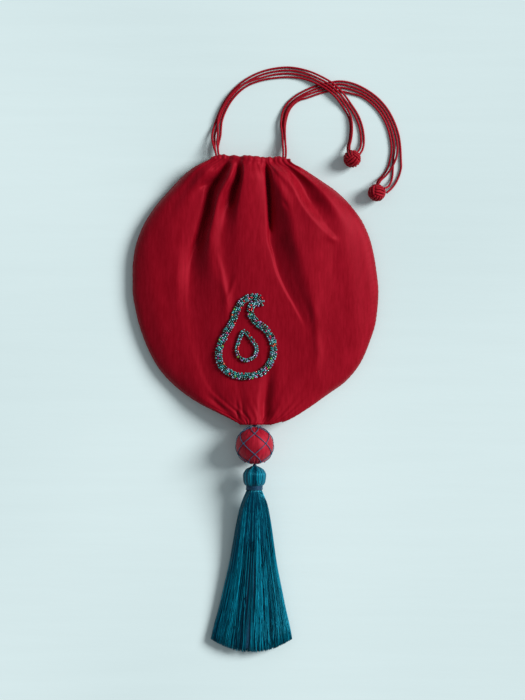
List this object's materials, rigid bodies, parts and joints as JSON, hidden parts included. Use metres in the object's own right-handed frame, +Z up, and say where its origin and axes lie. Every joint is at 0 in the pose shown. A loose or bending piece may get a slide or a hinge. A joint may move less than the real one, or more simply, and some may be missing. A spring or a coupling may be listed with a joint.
{
  "type": "potli bag",
  "caption": "Round silk drawstring pouch lying flat, with a beaded paisley, doubled drawstrings ending in woven ball knots, a netted ball and a thread tassel.",
  "frame": {"origin": "middle of the back panel's underside, on the table the bag lies on", "axes": "+Y from the tassel towards the mouth, +X to the right across the front of the bag, +Z up out of the front panel"},
  "size_m": [0.2151, 0.4683, 0.0314],
  "materials": {
    "silk": "crimson slubbed silk, satin",
    "cord": "red twisted cord, satin",
    "beads": "mixed seed beads, mostly teal, glossy",
    "net_thread": "dark teal thread, satin",
    "tassel_silk": "teal silk threads, satin"
  },
  "bodies": {
    "bag": {"front_panel": "silk", "back_panel": "silk", "left_strand_in_casing_1": "cord", "left_strand_in_casing_2": "cord", "right_strand_in_casing_1": "cord", "right_strand_in_casing_2": "cord", "left_strand_a": "cord", "left_strand_b": "cord", "left_strand_c": "cord", "left_strand_d": "cord", "right_strand_a": "cord", "right_strand_b": "cord", "right_strand_c": "cord", "right_strand_d": "cord", "left_ball_knot": "cord", "right_ball_knot": "cord", "paisley_rim_beads": "beads", "paisley_heart_beads": "beads"},
    "upper_link": {"bag_knot": "net_thread"},
    "netted_ball": {"ball": "silk", "net_row_1": "net_thread", "net_row_2": "net_thread", "net_row_3": "net_thread", "net_row_4": "net_thread", "net_row_5": "net_thread", "hanging_thread": "net_thread"},
    "lower_link": {"head_knot": "net_thread"},
    "tassel": {"tassel_threads": "tassel_silk", "tassel_binding": "net_thread"}
  },
  "joints": [
    {"name": "ball_swing", "type": "hinge", "parent": "bag", "child": "upper_link", "pos_m": [-0.0006, -0.1076, 0.0159], "axis": [0, 0, 1], "range_deg": [-12, 12]},
    {"name": "ball_lift", "type": "hinge", "parent": "upper_link", "child": "netted_ball", "pos_m": [-0.0006, -0.1076, 0.0159], "axis": [1, 0, 0], "range_deg": [-12, 12]},
    {"name": "tassel_swing", "type": "hinge", "parent": "netted_ball", "child": "lower_link", "pos_m": [-0.0006, -0.1402, 0.0159], "axis": [0, 0, 1], "range_deg": [-25, 25]},
    {"name": "tassel_lift", "type": "hinge", "parent": "lower_link", "child": "tassel", "pos_m": [-0.0006, -0.1402, 0.0159], "axis": [1, 0, 0], "range_deg": [-25, 25]}
  ]
}
